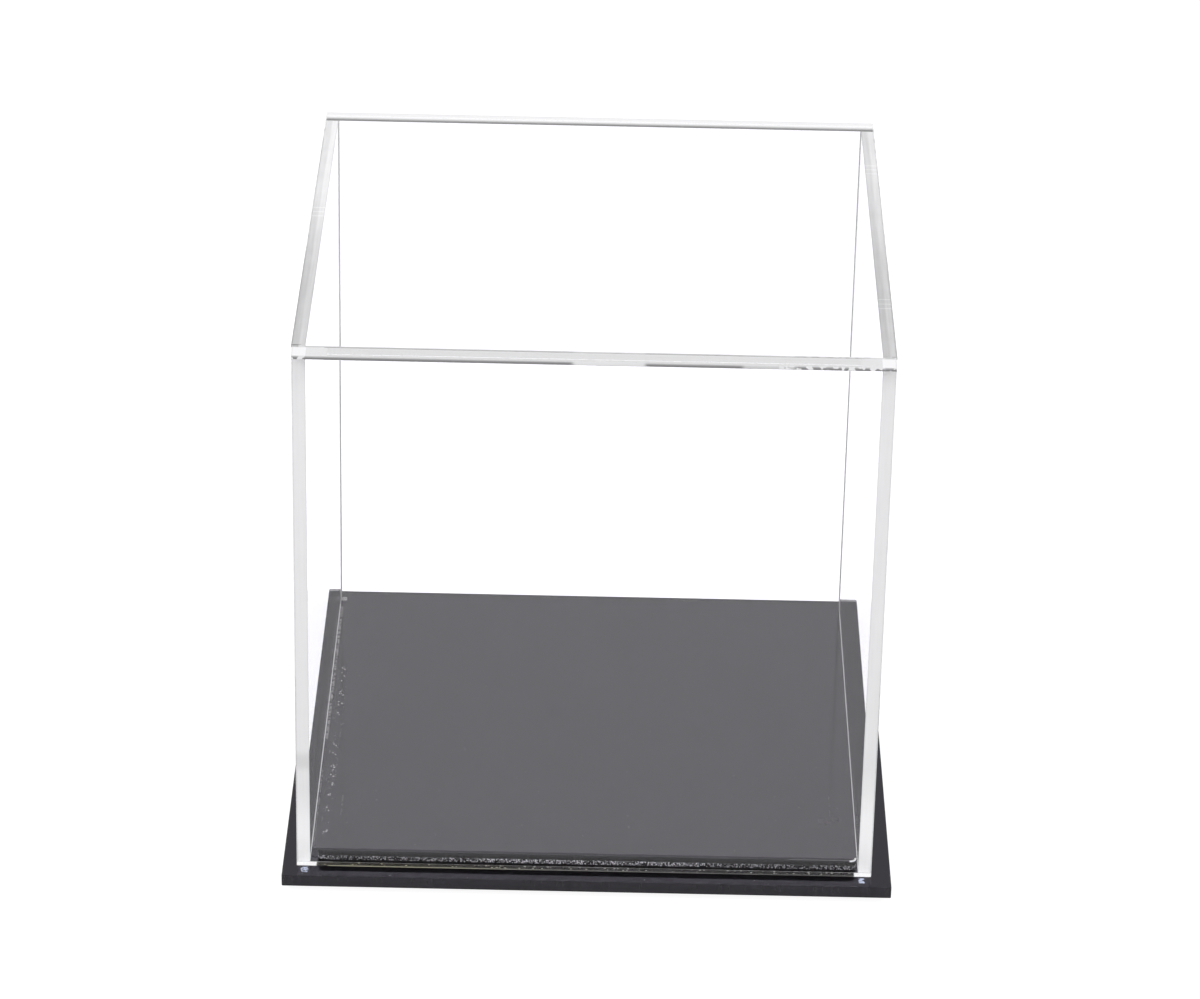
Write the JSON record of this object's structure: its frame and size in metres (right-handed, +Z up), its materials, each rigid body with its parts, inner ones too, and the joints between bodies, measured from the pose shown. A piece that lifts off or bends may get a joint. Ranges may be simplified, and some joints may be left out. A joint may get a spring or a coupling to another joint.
{
  "type": "softball display case",
  "caption": "Square clear box cover, open below, that stands around a raised black deck on a black base plate and lifts off it to put a ball inside.",
  "frame": {"origin": "middle of the base on the surface that the case stands on", "axes": "+Z up, -Y towards the front that the picture shows, +X to the right of it"},
  "size_m": [0.1412, 0.1412, 0.138],
  "materials": {
    "clear_acrylic": "polished",
    "black_acrylic": "polished",
    "clear_bumper": "satin"
  },
  "bodies": {
    "base": {"base_plate": "black_acrylic", "raised_plate": "black_acrylic", "foot_front_left": "clear_bumper", "foot_front_right": "clear_bumper", "foot_back_left": "clear_bumper", "foot_back_right": "clear_bumper"},
    "cover": {"front_panel": "clear_acrylic", "back_panel": "clear_acrylic", "left_panel": "clear_acrylic", "right_panel": "clear_acrylic", "top_panel": "clear_acrylic"}
  },
  "joints": [
    {"name": "cover_lift", "type": "slide", "parent": "base", "child": "cover", "axis": [0, 0, 1], "range_m": [0, 0.14]}
  ]
}
